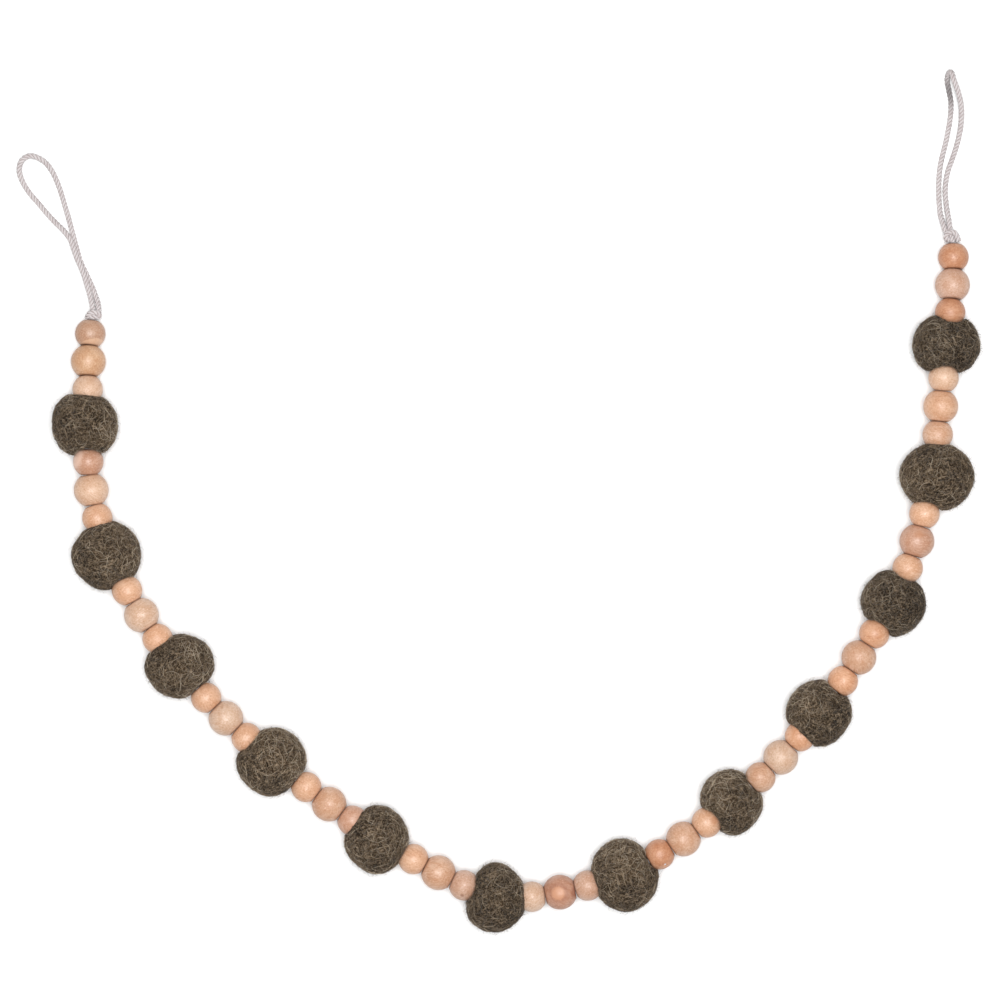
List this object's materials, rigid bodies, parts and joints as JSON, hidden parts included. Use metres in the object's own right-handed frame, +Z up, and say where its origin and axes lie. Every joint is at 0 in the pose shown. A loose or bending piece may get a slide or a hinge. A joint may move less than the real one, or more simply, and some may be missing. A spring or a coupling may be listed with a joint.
{
  "type": "felt ball garland",
  "caption": "Strung garland of dark wool felt balls and small turned wooden beads on a twisted cord, with a knotted hanging loop at each end, lying in a U shape.",
  "frame": {"origin": "bottom centre of the strung balls and beads, without the hanging loops, on the surface they lie on", "axes": "+X along the open side of the U, towards its longer arm; +Y from the bottom of the U towards the loops; +Z up from the surface"},
  "size_m": [0.4438, 0.3968, 0.0303],
  "materials": {
    "felt_wool": "matte, hairy wool felt",
    "wood_tan": "bare turned wood, satin",
    "wood_honey": "bare turned wood, satin",
    "wood_cream": "bare turned wood, satin",
    "wood_rosy": "bare turned wood, satin",
    "wood_brown": "bare turned wood, satin",
    "wood_peach": "bare turned wood, satin",
    "wood_orange": "bare turned wood, satin",
    "wood_beige": "bare turned wood, satin",
    "cotton_cord": "matte twisted cotton"
  },
  "bodies": {
    "root": {"felt_ball_01": "felt_wool", "felt_ball_02": "felt_wool", "felt_ball_03": "felt_wool", "felt_ball_04": "felt_wool", "felt_ball_05": "felt_wool", "felt_ball_06": "felt_wool", "felt_ball_07": "felt_wool", "felt_ball_08": "felt_wool", "felt_ball_09": "felt_wool", "felt_ball_10": "felt_wool", "felt_ball_11": "felt_wool", "felt_ball_12": "felt_wool", "bead_01": "wood_tan", "bead_02": "wood_honey", "bead_03": "wood_cream", "bead_04": "wood_rosy", "bead_05": "wood_tan", "bead_06": "wood_peach", "bead_07": "wood_rosy", "bead_08": "wood_beige", "bead_09": "wood_peach", "bead_10": "wood_orange", "bead_11": "wood_cream", "bead_12": "wood_peach", "bead_13": "wood_peach", "bead_14": "wood_tan", "bead_15": "wood_rosy", "bead_16": "wood_peach", "bead_17": "wood_tan", "bead_18": "wood_rosy", "bead_19": "wood_beige", "bead_20": "wood_brown", "bead_21": "wood_beige", "bead_22": "wood_orange", "bead_23": "wood_tan", "bead_24": "wood_peach", "bead_25": "wood_tan", "bead_26": "wood_rosy", "bead_27": "wood_orange", "bead_28": "wood_peach", "bead_29": "wood_rosy", "bead_30": "wood_orange", "bead_31": "wood_rosy", "bead_32": "wood_brown", "bead_33": "wood_peach", "bead_34": "wood_rosy", "bead_35": "wood_honey", "bead_36": "wood_cream", "bead_37": "wood_orange", "bead_38": "wood_beige", "bead_39": "wood_tan", "string_cord": "cotton_cord", "loop_left": "cotton_cord", "loop_right": "cotton_cord", "knot_left": "cotton_cord", "knot_right": "cotton_cord"}
  },
  "joints": []
}
